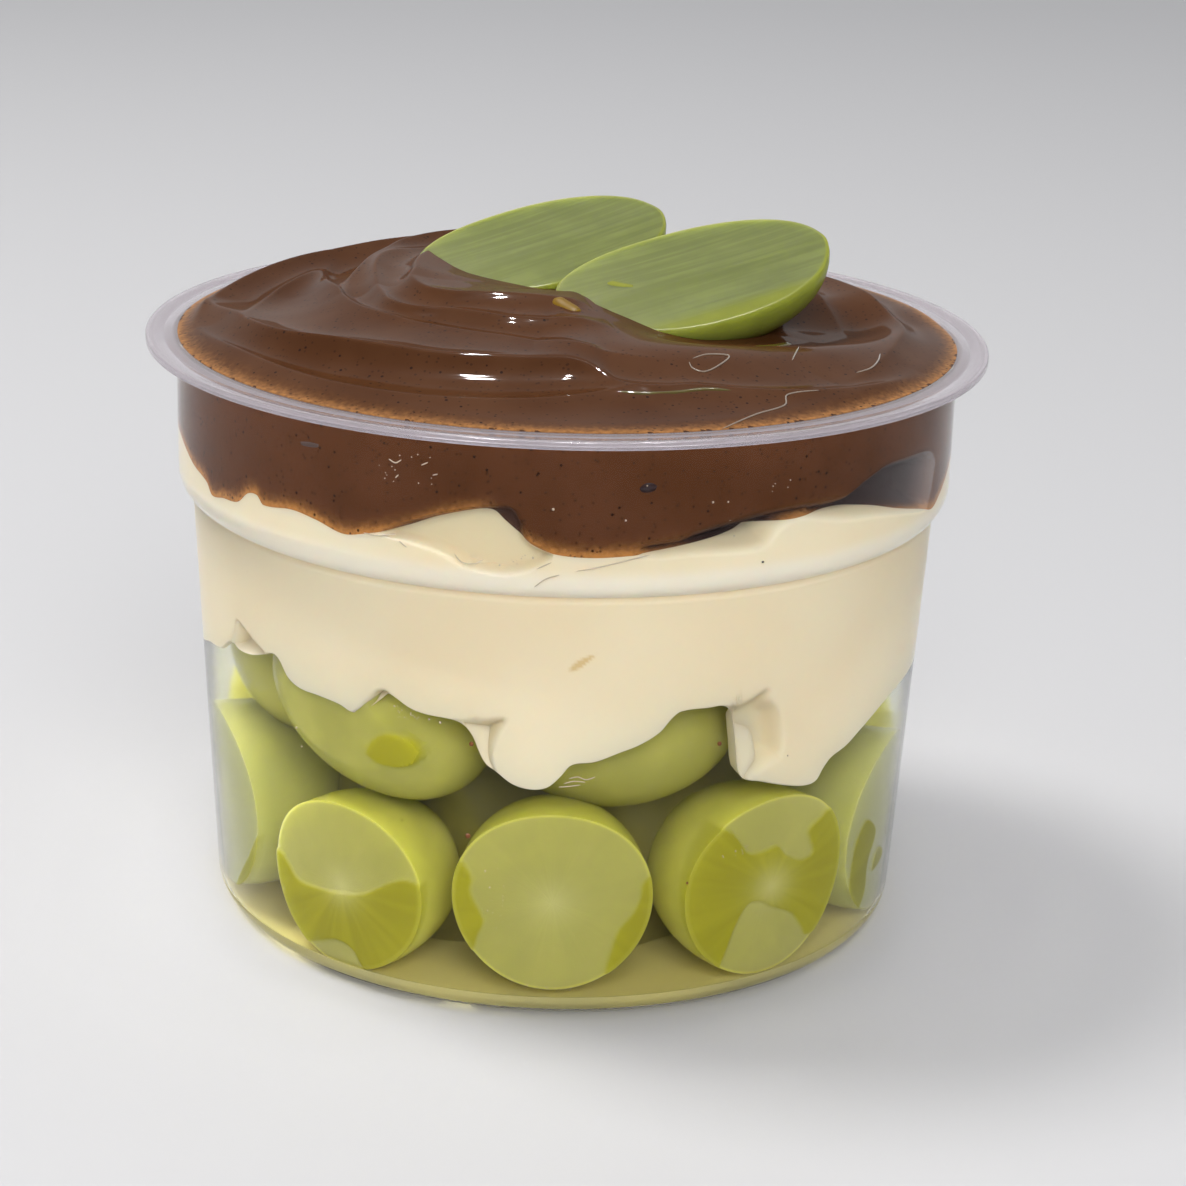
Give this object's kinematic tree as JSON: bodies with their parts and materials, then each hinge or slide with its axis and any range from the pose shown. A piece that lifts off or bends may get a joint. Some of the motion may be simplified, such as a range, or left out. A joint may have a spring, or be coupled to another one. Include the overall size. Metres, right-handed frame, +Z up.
{
  "type": "grape cream dessert cup",
  "caption": "Clear round cup of cut green grapes under white cream, with a swirled chocolate cream layer and halved grapes on top.",
  "frame": {"origin": "middle of the base, on the surface that the cup stands on", "axes": "+Z up through the cup; -Y towards the pictured front; +X to the right as seen from the front"},
  "size_m": [0.095, 0.095, 0.0783],
  "materials": {
    "clear_plastic": "clear, glossy, thin-walled",
    "chocolate_cream": "glossy soft chocolate cream with fine dark specks",
    "white_cream": "smooth warm white cream pressed against the wall",
    "green_grape": "translucent green grape, wet where it touches the wall"
  },
  "bodies": {
    "root": {"cup": "clear_plastic", "grape_heap": "green_grape", "white_cream": "white_cream", "chocolate_swirl": "chocolate_cream", "top_grape_left": "green_grape", "top_grape_right": "green_grape"}
  },
  "joints": []
}
